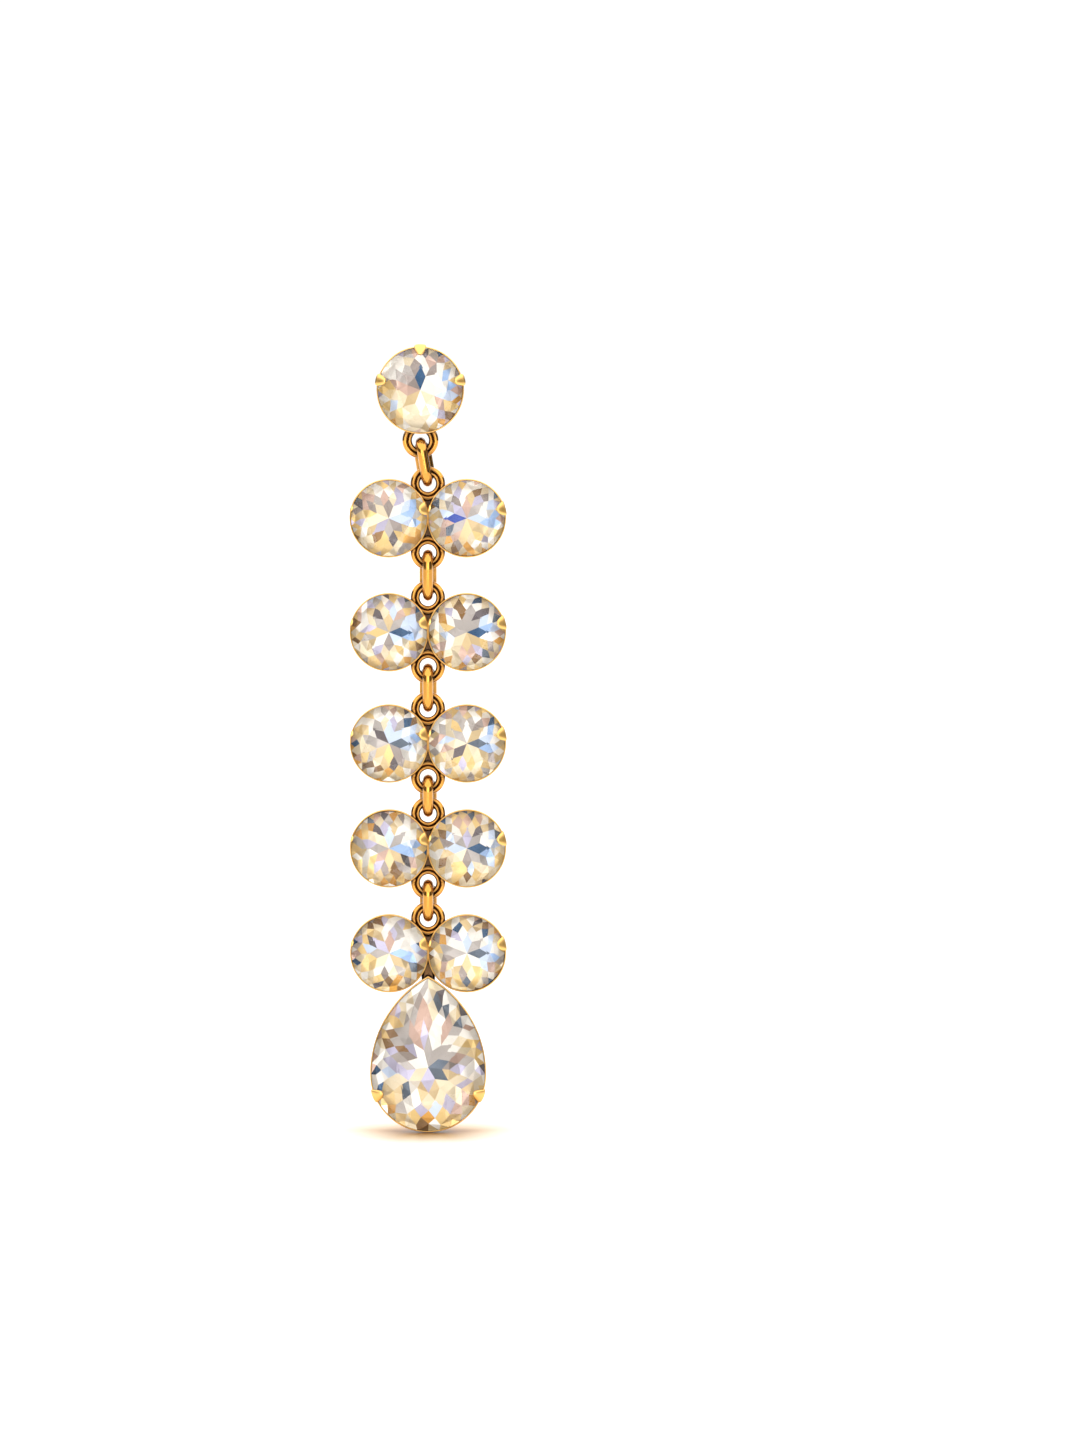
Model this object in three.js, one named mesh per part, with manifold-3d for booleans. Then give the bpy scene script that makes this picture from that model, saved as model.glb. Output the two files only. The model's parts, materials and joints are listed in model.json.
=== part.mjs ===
// Long crystal drop earring: a round stud on an ear post, five tiers of two round stones joined by
// oval links, and a pear stone soldered under the last tier.
// Millimetres, +Z up, the front faces -Y. The origin is where the ear post leaves the stud's flat back.
import * as THREE from 'three';
import { ConvexGeometry } from 'three/addons/geometries/ConvexGeometry.js';
import { mergeVertices } from 'three/addons/utils/BufferGeometryUtils.js';
import Module from 'manifold-3d';

const wasm = await Module();
wasm.setup();

// Driving sizes of the stones and their cups
const stud = { rimRadius: 5.02, crown: 1.6, pavilion: 3.8, cupDepth: 4.4, backRadius: 2.5 };
const pair = { rimRadius: 4.52, crown: 1.45, pavilion: 3.4, cupDepth: 3.95, backRadius: 2.1 };
const pear = { rimRadius: 6.7, tipHeight: 11.35, crown: 1.8, pavilion: 4.1, cupDepth: 4.7, backInset: 3.2 };
const pairOverlap = 0.08; // the two rims of a tier are soldered into each other by this much
const pearGap = 0.12; // between the pear's rim and the two round rims that its tip sits between
const pearForward = 0.3; // the pear's girdle stands this far in front of the round stones'
const rimWall = 0.13;
const rimLip = 0.15; // the rim stands this far in front of the girdle
const rimBand = 0.8; // straight height of the rim behind the girdle
const cupFloor = 0.4;
const seatGap = 0.05; // clearance between a stone and its cup
const girdle = 0.2;
const tableShare = 0.56;
const crownMid = 0.78; // where the star and the upper girdle facets meet, as a share of the radius
const pavilionMid = 0.32;
const pearCuletRise = 0.8;

// Driving sizes of the metal that joins the tiers
const tierLoop = { holeRadius: 0.95, innerWire: 0.45, outerWire: 0.58 };
const studLoop = { holeRadius: 0.99, innerWire: 0.47, outerWire: 0.61 };
const loopBehindGirdle = 0.7;
const solderLap = 0.52; // how far a tier's loop runs into the two cups
const studLoopLap = 1.33; // how far the stud's loop runs behind the stud's rim
const strut = { width: 1.7, front: -0.15, back: 1.5, lap: 0.4 }; // upright bar between the two cups
const linkWire = 1.2;
const linkBackWidth = 2.0;
const linkBackDepth = 0.9;
const linkBackShares = [1, 0.4]; // how far each step of a bend still has the back's section
const linkSideRoom = 0.62; // from the middle of a link to its inner face, front and back
const hangGap = 0.15; // play between a link and each loop
const chainShift = 0.85; // the tiers hang this far to the right of the stud's middle

// Each tier's middle below the middle of the piece above it
const firstDrop = 14.7;
const secondDrop = 13.1;
const thirdDrop = 12.8;
const lowerDrop = 12.1;
const tiers = [
  { name: '1', drop: firstDrop },
  { name: '2', drop: secondDrop },
  { name: '3', drop: thirdDrop },
  { name: '4', drop: lowerDrop },
  { name: '5', drop: lowerDrop },
];

// Prongs: angle from +X in degrees, seen from the front
const studProng = { angles: [90, 14, 166], width: 1.35, out: 0.28, reach: 0.95, thick: 0.42, tipShare: 0.72 };
const pairProng = { angles: [15], width: 1.3, out: 0.08, reach: 0.85, thick: 0.3, tipShare: 0.6 };
const pairCatch = { angles: [165], width: 1.3, out: 0.08, reach: 0.5, thick: 0.2, tipShare: 0.8 };
const pearProng = { angles: [-22, 202], width: 1.6, out: 0.25, reach: 1.1, thick: 0.45, tipShare: 0.6 };
const prongRoot = 1.1; // how far a prong runs back along the cup
const prongGap = 0.1; // between a prong and the crown under it

const post = { radius: 0.4, length: 11.3, tipRadius: 0.25, tip: 0.5, root: 0.2 };

const roundSides = 24;
const pairSides = 20;
const pearSides = 28;
const pearGirdleSides = 24;
const loopSides = 16;
const postSides = 12;
const linkBendSteps = 6;
const wireSides = 6;
const cut = 8; // main facets of a stone
const bite = 0.02; // how far a cutting shape runs past what it cuts

const gold = new THREE.MeshStandardMaterial({ color: 0xd9a441, roughness: 0.16, metalness: 1 });
const crystal = new THREE.MeshStandardMaterial({
  color: 0xf0e2cb, roughness: 0.04, metalness: 0, flatShading: true,
});

// Solids

function toSolid(geometry) {
  const bare = geometry.clone();
  bare.deleteAttribute('normal');
  bare.deleteAttribute('uv');
  const merged = mergeVertices(bare, 1e-4);
  return new wasm.Manifold(new wasm.Mesh({
    numProp: 3,
    vertProperties: merged.attributes.position.array,
    triVerts: new Uint32Array(merged.index.array),
  }));
}

function toGeometry(solid) {
  const mesh = solid.getMesh();
  const geometry = new THREE.BufferGeometry();
  geometry.setAttribute('position', new THREE.BufferAttribute(mesh.vertProperties, 3));
  geometry.setIndex(new THREE.BufferAttribute(mesh.triVerts, 1));
  geometry.computeVertexNormals();
  return geometry;
}

const joined = (solids) => solids.reduce((sum, solid) => sum.add(solid));
const cutBy = (solid, tools) => tools.reduce((left, tool) => left.subtract(tool), solid);
const moved = (geometry, x, y, z) => geometry.clone().translate(x, y, z);

// A closed skin through rings of equally many points. The ends are closed by a fan to their own
// middle, or the last ring joins the first.
function skin(rings, closedOnItself) {
  const count = rings[0].length;
  const points = rings.flat();
  const faces = [];
  const bands = closedOnItself ? rings.length : rings.length - 1;
  for (let band = 0; band < bands; band += 1) {
    const low = band * count;
    const high = ((band + 1) % rings.length) * count;
    for (let i = 0; i < count; i += 1) {
      const next = (i + 1) % count;
      faces.push(low + i, high + next, low + next, low + i, high + i, high + next);
    }
  }
  if (!closedOnItself) {
    for (const first of [true, false]) {
      const start = first ? 0 : (rings.length - 1) * count;
      const middle = points.length;
      const sum = new THREE.Vector3();
      for (let i = 0; i < count; i += 1) sum.add(points[start + i]);
      points.push(sum.divideScalar(count));
      for (let i = 0; i < count; i += 1) {
        const next = (i + 1) % count;
        if (first) faces.push(middle, start + i, start + next);
        else faces.push(middle, start + next, start + i);
      }
    }
  }
  const geometry = new THREE.BufferGeometry().setFromPoints(points);
  geometry.setIndex(faces);
  return geometry;
}

// Outlines, as the distance from the middle in a direction, drawn in by an inset

const circle = (radius) => (angle, inset = 0) => radius - inset;

// A teardrop: a half circle below, and two arcs that meet in the tip above
function teardrop(radius, tipHeight) {
  const sideRadius = (radius ** 2 + tipHeight ** 2) / (2 * radius);
  const sideCentre = sideRadius - radius;
  return (angle, inset = 0) => {
    if (Math.sin(angle) <= 0) return radius - inset;
    const across = sideCentre * Math.abs(Math.cos(angle));
    const up = sideCentre * Math.sin(angle);
    return Math.sqrt((sideRadius - inset) ** 2 - up ** 2) - across;
  };
}

function ring(outline, { inset = 0, share = 1, y, sides, turn = 0, lift = 0 }) {
  return Array.from({ length: sides }, (_, i) => {
    const angle = ((i + turn) / sides) * 2 * Math.PI + Math.PI / 2;
    const reach = outline(angle, inset) * share;
    return new THREE.Vector3(reach * Math.cos(angle), y, reach * Math.sin(angle) + lift);
  });
}

// Stones: the girdle's middle plane is y = 0, and the table faces -Y

function cutStone(outline, { crown, pavilion }, { sides, culetRise = 0 }) {
  const slope = Math.cos(Math.PI / cut);
  const front = -girdle / 2;
  const back = girdle / 2;
  const crownShare = (1 - crownMid * slope) / (1 - tableShare);
  const pavilionShare = 1 - pavilionMid * slope;
  const points = [
    ...ring(outline, { share: tableShare, y: front - crown, sides: cut }),
    ...ring(outline, { share: crownMid, y: front - crown * crownShare, sides: cut, turn: 0.5 }),
    ...ring(outline, { y: front, sides }),
    ...ring(outline, { y: back, sides }),
    ...ring(outline, {
      share: pavilionMid, y: back + pavilion * pavilionShare, sides: cut, turn: 0.5, lift: culetRise / 2,
    }),
    new THREE.Vector3(0, back + pavilion, culetRise),
  ];
  return new ConvexGeometry(points);
}

const stoneInset = rimWall + seatGap;
const studStone = () => cutStone(circle(stud.rimRadius - stoneInset), stud, { sides: 2 * cut });
const pairStone = () => cutStone(circle(pair.rimRadius - stoneInset), pair, { sides: 2 * cut });

const pearOutline = teardrop(pear.rimRadius, pear.tipHeight);
const pearStone = () => cutStone(
  (angle) => pearOutline(angle, stoneInset), pear, { sides: pearGirdleSides, culetRise: pearCuletRise },
);

// Cups

const cavityRows = ({ cupDepth }, backInset) => [
  { inset: backInset, y: cupDepth - cupFloor },
  { inset: rimWall, y: rimBand - cupFloor / 2 },
];

function roundCup(size, sides) {
  const { rimRadius, cupDepth, backRadius } = size;
  const [floor, seat] = cavityRows(size, rimRadius - backRadius + cupFloor / 2);
  const profile = [
    new THREE.Vector2(0, floor.y),
    new THREE.Vector2(rimRadius - floor.inset, floor.y),
    new THREE.Vector2(rimRadius - seat.inset, seat.y),
    new THREE.Vector2(rimRadius - rimWall, -rimLip),
    new THREE.Vector2(rimRadius, -rimLip),
    new THREE.Vector2(rimRadius, rimBand),
    new THREE.Vector2(backRadius, cupDepth),
    new THREE.Vector2(0, cupDepth),
  ];
  return new THREE.LatheGeometry(profile, sides);
}

function roundCavity(size, sides) {
  const { rimRadius, backRadius } = size;
  const [floor, seat] = cavityRows(size, rimRadius - backRadius + cupFloor / 2);
  const profile = [
    new THREE.Vector2(0, -rimLip - bite),
    new THREE.Vector2(rimRadius - rimWall, -rimLip - bite),
    new THREE.Vector2(rimRadius - seat.inset, seat.y),
    new THREE.Vector2(rimRadius - floor.inset, floor.y),
    new THREE.Vector2(0, floor.y),
  ];
  return new THREE.LatheGeometry(profile, sides);
}

const pearRow = ({ inset, y }) => ring(pearOutline, { inset, y, sides: pearSides });

const pearCup = () => skin([
  ...cavityRows(pear, pear.backInset + cupFloor / 2),
  { inset: rimWall, y: -rimLip },
  { inset: 0, y: -rimLip },
  { inset: 0, y: rimBand },
  { inset: pear.backInset, y: pear.cupDepth },
].map(pearRow), false);

const pearCavity = () => skin([
  { inset: rimWall, y: -rimLip - bite },
  ...cavityRows(pear, pear.backInset + cupFloor / 2).reverse(),
].map(pearRow), false);

// A prong: a strip that climbs the cup and folds over the crown, narrower towards its tip
function prong(rimRadius, crownSlope, shape) {
  const stoneRadius = rimRadius - stoneInset;
  const tipRadius = rimRadius - shape.reach;
  const outer = rimRadius + shape.out;
  const under = (radius) => -girdle / 2 - prongGap - Math.max(0, stoneRadius - radius) * crownSlope;
  const profile = new THREE.Shape([
    new THREE.Vector2(rimRadius - rimWall / 2, prongRoot),
    new THREE.Vector2(rimRadius - rimWall / 2, under(stoneRadius)),
    new THREE.Vector2(stoneRadius, under(stoneRadius)),
    new THREE.Vector2(tipRadius, under(tipRadius)),
    new THREE.Vector2(tipRadius, under(tipRadius) - shape.thick * 0.6),
    new THREE.Vector2((tipRadius + rimRadius) / 2, under((tipRadius + rimRadius) / 2) - shape.thick),
    new THREE.Vector2(rimRadius, under(stoneRadius) - shape.thick),
    new THREE.Vector2(outer, under(stoneRadius)),
    new THREE.Vector2(outer, prongRoot - shape.thick),
  ]);
  const strip = new THREE.ExtrudeGeometry(profile, { depth: shape.width, bevelEnabled: false, steps: 1 });
  strip.translate(0, 0, -shape.width / 2);
  const position = strip.attributes.position;
  for (let i = 0; i < position.count; i += 1) {
    const along = Math.min(1, (position.getX(i) - tipRadius) / shape.reach);
    position.setZ(i, position.getZ(i) * (shape.tipShare + (1 - shape.tipShare) * along));
  }
  return strip;
}

function prongsAround(size, shape, x = 0, y = 0, z = 0) {
  const crownSlope = size.crown / ((size.rimRadius - stoneInset) * (1 - tableShare));
  return shape.angles.map((angle) => {
    const turned = prong(size.rimRadius, crownSlope, shape).rotateY(-THREE.MathUtils.degToRad(angle));
    return toSolid(moved(turned, x, y, z));
  });
}

// A loop of two round wires soldered one inside the other, facing the viewer
const loopRadius = ({ holeRadius, innerWire, outerWire }) => holeRadius + innerWire + outerWire;

function doubleLoop(size) {
  const { holeRadius, innerWire, outerWire } = size;
  const seam = holeRadius + innerWire;
  const half = [
    { radius: holeRadius + innerWire / 2, y: innerWire / 2 },
    { radius: seam, y: innerWire / 4 },
    { radius: seam + outerWire / 2, y: outerWire / 2 },
  ];
  const profile = [
    new THREE.Vector2(holeRadius, 0),
    ...half.map(({ radius, y }) => new THREE.Vector2(radius, -y)),
    new THREE.Vector2(loopRadius(size), 0),
    ...half.reverse().map(({ radius, y }) => new THREE.Vector2(radius, y)),
    new THREE.Vector2(holeRadius, 0),
  ];
  return new THREE.LatheGeometry(profile, loopSides);
}

// Places that follow from the sizes above
const girdleY = -stud.cupDepth;
const loopY = loopBehindGirdle;
const pairHalf = pair.rimRadius - pairOverlap / 2;
const loopToCup = pair.rimRadius + loopRadius(tierLoop) - solderLap;
const tierLoopRise = Math.sqrt(loopToCup ** 2 - pairHalf ** 2);
const studLoopDrop = stud.rimRadius + loopRadius(studLoop) - studLoopLap;

// How far the pear's middle hangs below the last tier's, with its side arcs pearGap from both rims
const pearSide = (pear.rimRadius ** 2 + pear.tipHeight ** 2) / (2 * pear.rimRadius);
const pearDrop = Math.sqrt((pearSide + pair.rimRadius + pearGap) ** 2 - (pearSide - pear.rimRadius + pairHalf) ** 2);

// Settings

function studSetting() {
  const cup = toSolid(roundCup(stud, roundSides));
  const cavity = toSolid(roundCavity(stud, roundSides));
  const loop = toSolid(moved(doubleLoop(studLoop), 0, loopY, -studLoopDrop));
  const pinProfile = [
    new THREE.Vector2(0, -post.root),
    new THREE.Vector2(post.radius, -post.root),
    new THREE.Vector2(post.radius, post.length - post.tip),
    new THREE.Vector2(post.tipRadius, post.length),
    new THREE.Vector2(0, post.length),
  ];
  const pin = toSolid(moved(new THREE.LatheGeometry(pinProfile, postSides), 0, stud.cupDepth, 0));
  const body = joined([cup, cutBy(loop, [cavity]), pin]);
  return toGeometry(joined([body, ...prongsAround(stud, studProng)]));
}

function pairParts() {
  const cups = [];
  const cavities = [];
  const prongs = [];
  for (const side of [-1, 1]) {
    cups.push(toSolid(moved(roundCup(pair, pairSides), side * pairHalf, 0, 0)));
    cavities.push(toSolid(moved(roundCavity(pair, pairSides), side * pairHalf, 0, 0)));
    prongs.push(...prongsAround(pair, pairProng, side * pairHalf));
    prongs.push(...prongsAround(pair, pairCatch, side * pairHalf));
  }
  return { cups, cavities, prongs };
}

const tierLoopAt = (z) => toSolid(moved(doubleLoop(tierLoop), 0, loopY, z));

function uprightStrut(low, high) {
  const bar = new THREE.BoxGeometry(strut.width, strut.front + strut.back, high - low);
  return toSolid(moved(bar, 0, loopY + (strut.back - strut.front) / 2, (low + high) / 2));
}

const strutEnd = tierLoopRise - loopRadius(tierLoop) + strut.lap;

function pairSetting() {
  const { cups, cavities, prongs } = pairParts();
  const metal = joined([
    ...cups, tierLoopAt(tierLoopRise), tierLoopAt(-tierLoopRise), uprightStrut(-strutEnd, strutEnd),
  ]);
  return toGeometry(joined([cutBy(metal, cavities), ...prongs]));
}

function dropSetting() {
  const { cups, cavities, prongs } = pairParts();
  const strutFoot = -pearDrop + pear.tipHeight - 2 * strut.width;
  const place = (geometry) => toSolid(moved(geometry, 0, -pearForward, -pearDrop));
  const metal = joined([
    ...cups, place(pearCup()), tierLoopAt(tierLoopRise), uprightStrut(strutFoot, strutEnd),
  ]);
  const pearProngs = prongsAround(pear, pearProng, 0, -pearForward, -pearDrop);
  return toGeometry(joined([
    cutBy(metal, [...cavities, place(pearCavity())]), ...prongs, ...pearProngs,
  ]));
}

// A closed oval link that stands edge-on: round wire in front and at the bends, a wide flat back
function ovalLink(loopSpacing, upperHole, lowerHole) {
  const innerHalf = (loopSpacing - upperHole - lowerHole) / 2 + hangGap;
  const bend = linkSideRoom + linkWire / 2;
  const straight = innerHalf + linkWire / 2 - bend;
  const step = Math.PI / linkBendSteps;
  const blend = (share) => ({
    width: linkWire + share * (linkBackWidth - linkWire),
    depth: linkWire + share * (linkBackDepth - linkWire),
  });
  const stations = [];
  for (let i = 0; i <= linkBendSteps; i += 1) {
    stations.push({ angle: i * step, rise: straight, ...blend(linkBackShares[i] ?? 0) });
  }
  for (let i = linkBendSteps; i >= 0; i -= 1) {
    stations.push({ angle: -i * step, rise: -straight, ...blend(linkBackShares[i] ?? 0) });
  }
  const rings = stations.map(({ angle, rise, width, depth }) => {
    const out = new THREE.Vector3(0, Math.cos(angle), Math.sin(angle));
    const middle = out.clone().multiplyScalar(bend).add(new THREE.Vector3(0, 0, rise));
    return Array.from({ length: wireSides }, (_, i) => {
      const around = (i / wireSides) * 2 * Math.PI;
      const side = (width / 2) * Math.cos(around);
      return middle.clone().addScaledVector(out, (depth / 2) * Math.sin(around)).setX(-side);
    });
  });
  return skin(rings, true);
}

// The earring

const earring = new THREE.Group();
earring.name = 'crystal_drop_earring';

function add(parent, name, geometry, material, x = 0, y = 0, z = 0) {
  const mesh = new THREE.Mesh(geometry, material);
  mesh.name = name;
  mesh.position.set(x, y, z);
  parent.add(mesh);
  return mesh;
}

function group(x, y, z) {
  const made = new THREE.Group();
  made.position.set(x, y, z);
  earring.add(made);
  return made;
}

const studGroup = group(0, girdleY, 0);
add(studGroup, 'stud_setting', studSetting(), gold);
add(studGroup, 'stud_stone', studStone(), crystal);

const roundStone = pairStone();
const sharedSetting = pairSetting();
let above = { x: 0, loopZ: -studLoopDrop, hole: studLoop.holeRadius };
let tierZ = 0;
tiers.forEach(({ name, drop }, index) => {
  tierZ -= drop;
  const last = index === tiers.length - 1;
  const tier = group(chainShift, girdleY, tierZ);
  if (last) {
    add(tier, 'drop_setting', dropSetting(), gold);
    add(tier, 'pear_stone', pearStone(), crystal, 0, -pearForward, -pearDrop);
  } else {
    add(tier, `pair_setting_${name}`, sharedSetting, gold);
  }
  add(tier, `round_stone_${name}_left`, roundStone, crystal, -pairHalf);
  add(tier, `round_stone_${name}_right`, roundStone, crystal, pairHalf);

  const loopZ = tierZ + tierLoopRise;
  const lean = new THREE.Vector2(chainShift - above.x, above.loopZ - loopZ);
  const link = group((chainShift + above.x) / 2, girdleY + loopY, (above.loopZ + loopZ) / 2);
  link.rotation.y = -Math.atan2(lean.x, lean.y);
  add(link, `link_${name}`, ovalLink(lean.length(), above.hole, tierLoop.holeRadius), gold);
  above = { x: chainShift, loopZ: tierZ - tierLoopRise, hole: tierLoop.holeRadius };
});

export default earring;
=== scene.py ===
# Long crystal drop earring, dressed for the photograph: polished gold plate and coated, foil-backed crystal.
import json
import math
import random

import bmesh
import bpy
from mathutils import Matrix, Vector


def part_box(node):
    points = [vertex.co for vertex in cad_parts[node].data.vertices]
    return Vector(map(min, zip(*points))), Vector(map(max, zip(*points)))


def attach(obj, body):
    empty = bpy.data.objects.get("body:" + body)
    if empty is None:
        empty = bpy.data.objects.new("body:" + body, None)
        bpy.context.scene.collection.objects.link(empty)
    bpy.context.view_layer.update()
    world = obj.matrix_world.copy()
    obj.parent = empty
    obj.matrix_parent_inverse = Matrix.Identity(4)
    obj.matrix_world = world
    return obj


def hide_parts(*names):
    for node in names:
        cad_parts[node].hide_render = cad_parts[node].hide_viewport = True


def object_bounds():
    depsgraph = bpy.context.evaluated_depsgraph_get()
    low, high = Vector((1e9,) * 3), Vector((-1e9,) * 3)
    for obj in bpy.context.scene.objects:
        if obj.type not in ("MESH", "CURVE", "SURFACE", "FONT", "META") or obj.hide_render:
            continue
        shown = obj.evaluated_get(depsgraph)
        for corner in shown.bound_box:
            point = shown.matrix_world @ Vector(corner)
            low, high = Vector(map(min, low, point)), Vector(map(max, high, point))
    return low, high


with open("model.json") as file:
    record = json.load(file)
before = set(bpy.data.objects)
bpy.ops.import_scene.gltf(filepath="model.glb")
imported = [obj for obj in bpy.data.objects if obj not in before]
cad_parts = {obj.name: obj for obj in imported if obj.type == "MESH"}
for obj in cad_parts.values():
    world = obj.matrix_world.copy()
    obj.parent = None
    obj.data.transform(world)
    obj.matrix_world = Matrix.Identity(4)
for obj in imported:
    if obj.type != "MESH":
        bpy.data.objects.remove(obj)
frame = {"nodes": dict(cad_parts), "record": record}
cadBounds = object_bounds()
mm = 0.001
bodyOfNode = {
    node: body
    for body, members in frame["record"]["behaviour"]["bodies"].items()
    for node in members}
print("frame loaded:", len(frame["nodes"]), "nodes")


def linear(hexColour):  # sRGB hex to the linear colour that Blender works in
    def channel(value):
        return value / 12.92 if value <= 0.04045 else ((value + 0.055) / 1.055) ** 2.4
    text = hexColour.lstrip("#")
    return tuple(channel(int(text[i:i + 2], 16) / 255) for i in (0, 2, 4)) + (1.0,)


def addNode(tree, kind, settings=None, inputs=None):
    # inputs maps a socket's name or number to a value, or to the output socket that feeds it
    node = tree.nodes.new(kind)
    for name, value in (settings or {}).items():
        setattr(node, name, value)
    for name, value in (inputs or {}).items():
        if isinstance(value, bpy.types.NodeSocket):
            tree.links.new(value, node.inputs[name])
        else:
            node.inputs[name].default_value = value
    return node


def setStops(node, stops, interpolation="LINEAR"):
    ramp = node.color_ramp
    ramp.interpolation = interpolation
    ramp.elements.remove(ramp.elements[-1])
    for number, (place, colour) in enumerate(stops):
        element = ramp.elements[0] if number == 0 else ramp.elements.new(place)
        element.position = place
        element.color = colour
    return node.outputs["Color"]


def newMaterial(name):
    material = bpy.data.materials.new(name)
    material.use_nodes = True
    material.node_tree.nodes.clear()
    return material, material.node_tree


goldPlate = {
    "colour": "#D1933A",  # yellow gold plate over brass
    "paintedShade": "#2E1603",  # painted shade: the same gold darkened where it sees only gold
    "paintedShadeMm": 1.3,  # how near the other gold is there
    "paintedShadeContrast": 2.4,
    "roughness": 0.07,
    "lacquer": 0.5,
    "lacquerRoughness": 0.03,
    # painted light: a paler gold than the plate's own, so lips and prongs stay light from every side
    "burnishedPaintedLight": "#EEBE70",
    "burnishedRoughness": 0.3,
    "buffMm": 0.09,  # real buffing lines are finer, drawn coarse enough to show
    "buffDepthMm": 0.01,
    "buffStrength": 0.06,
    "burnishedStrength": 0.08,
    "cloudMm": 1.6,  # patches that the wheel left brighter or duller
}


def makePolishedGoldPlate():  # brass castings and wire, buffed and plated: a mirror with faint buffing lines, and painted shade where other gold lies near
    material, tree = newMaterial("polishedGoldPlate")
    place = addNode(tree, "ShaderNodeTexCoord").outputs["Object"]
    cloud = addNode(tree, "ShaderNodeTexNoise", {}, {
        "Vector": place, "Scale": 1 / (goldPlate["cloudMm"] * mm), "Detail": 3.0})
    buff = addNode(tree, "ShaderNodeTexNoise", {}, {
        "Vector": place, "Scale": 1 / (goldPlate["buffMm"] * mm), "Detail": 2.0})
    rough = addNode(tree, "ShaderNodeMapRange", {}, {
        "Value": cloud.outputs["Fac"], "From Min": 0.3, "From Max": 0.7,
        "To Min": goldPlate["roughness"] * 0.7, "To Max": goldPlate["roughness"] * 1.5})
    # painted shade: the colour darkens towards a deep brown where other gold lies near, in crevices and between
    # parts
    paintedShadeMask = addNode(tree, "ShaderNodeAmbientOcclusion", {"samples": 6}, {"Distance": goldPlate["paintedShadeMm"] * mm})
    shaded = addNode(tree, "ShaderNodeMath", {"operation": "POWER"}, {
        0: paintedShadeMask.outputs["AO"], 1: goldPlate["paintedShadeContrast"]})
    tone = addNode(tree, "ShaderNodeMix", {"data_type": "RGBA"}, {
        "Factor": shaded.outputs[0], "A": linear(goldPlate["paintedShade"]), "B": linear(goldPlate["colour"])})
    bump = addNode(tree, "ShaderNodeBump", {}, {
        "Strength": goldPlate["buffStrength"], "Distance": goldPlate["buffDepthMm"] * mm,
        "Height": buff.outputs["Fac"]})
    shader = addNode(tree, "ShaderNodeBsdfPrincipled", {}, {
        "Base Color": tone.outputs["Result"], "Metallic": 1.0, "Roughness": rough.outputs["Result"],
        "Coat Weight": goldPlate["lacquer"], "Coat Roughness": goldPlate["lacquerRoughness"],
        "Normal": bump.outputs["Normal"]})
    addNode(tree, "ShaderNodeOutputMaterial", {}, {"Surface": shader.outputs["BSDF"]})
    return material


def makeSatinGoldPaintedLight():  # lips and prongs pressed over the stones: the same plate, satin from the burnisher, in a paler gold that is painted light, so they stay light from every side
    material, tree = newMaterial("burnishedGoldPaintedLight")
    place = addNode(tree, "ShaderNodeTexCoord").outputs["Object"]
    buff = addNode(tree, "ShaderNodeTexNoise", {}, {
        "Vector": place, "Scale": 1 / (goldPlate["buffMm"] * mm), "Detail": 2.0})
    bump = addNode(tree, "ShaderNodeBump", {}, {
        "Strength": goldPlate["burnishedStrength"], "Distance": goldPlate["buffDepthMm"] * mm,
        "Height": buff.outputs["Fac"]})
    shader = addNode(tree, "ShaderNodeBsdfPrincipled", {}, {
        "Base Color": linear(goldPlate["burnishedPaintedLight"]), "Metallic": 1.0,
        "Roughness": goldPlate["burnishedRoughness"], "Normal": bump.outputs["Normal"]})
    addNode(tree, "ShaderNodeOutputMaterial", {}, {"Surface": shader.outputs["BSDF"]})
    return material


crystalGlass = {
    "colour": "#FFFFFF",
    "ior": 1.28,  # lower than real crystal glass, so that the foil's tints show whole
    "roughness": 0.0,
}


def makeCoatedCrystal():  # machine-cut and polished crystal glass: clear, with sharp bright facets
    material, tree = newMaterial("coatedCrystal")
    shader = addNode(tree, "ShaderNodeBsdfPrincipled", {}, {
        "Base Color": linear(crystalGlass["colour"]), "Roughness": crystalGlass["roughness"],
        "IOR": crystalGlass["ior"], "Transmission Weight": 1.0})
    addNode(tree, "ShaderNodeOutputMaterial", {}, {"Surface": shader.outputs["BSDF"]})
    return material


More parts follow.
